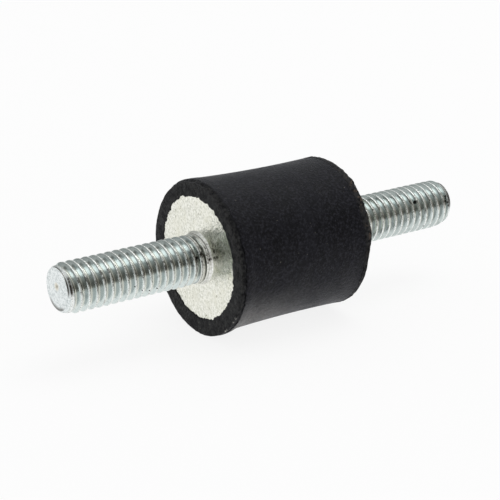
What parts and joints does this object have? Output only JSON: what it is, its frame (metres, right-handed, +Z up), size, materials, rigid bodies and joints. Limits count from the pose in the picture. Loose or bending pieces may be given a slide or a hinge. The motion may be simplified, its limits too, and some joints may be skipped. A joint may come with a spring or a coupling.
{
  "type": "bobbin vibration mount",
  "caption": "Cylindrical rubber bobbin mount: a moulded rubber barrel bonded to a steel flange with a threaded stud at each end.",
  "frame": {"origin": "middle of the rubber barrel, on the common axis of the two studs", "axes": "+X along the axis towards the far stud, the near stud points along -X, +Z up as the part lies on its barrel"},
  "size_m": [0.0556, 0.0188, 0.0188],
  "materials": {
    "rubber": "matte moulded",
    "plated_steel": "bright zinc plated"
  },
  "bodies": {
    "root": {"rubber_body": "rubber", "near_insert": "plated_steel", "far_insert": "plated_steel"}
  },
  "joints": []
}
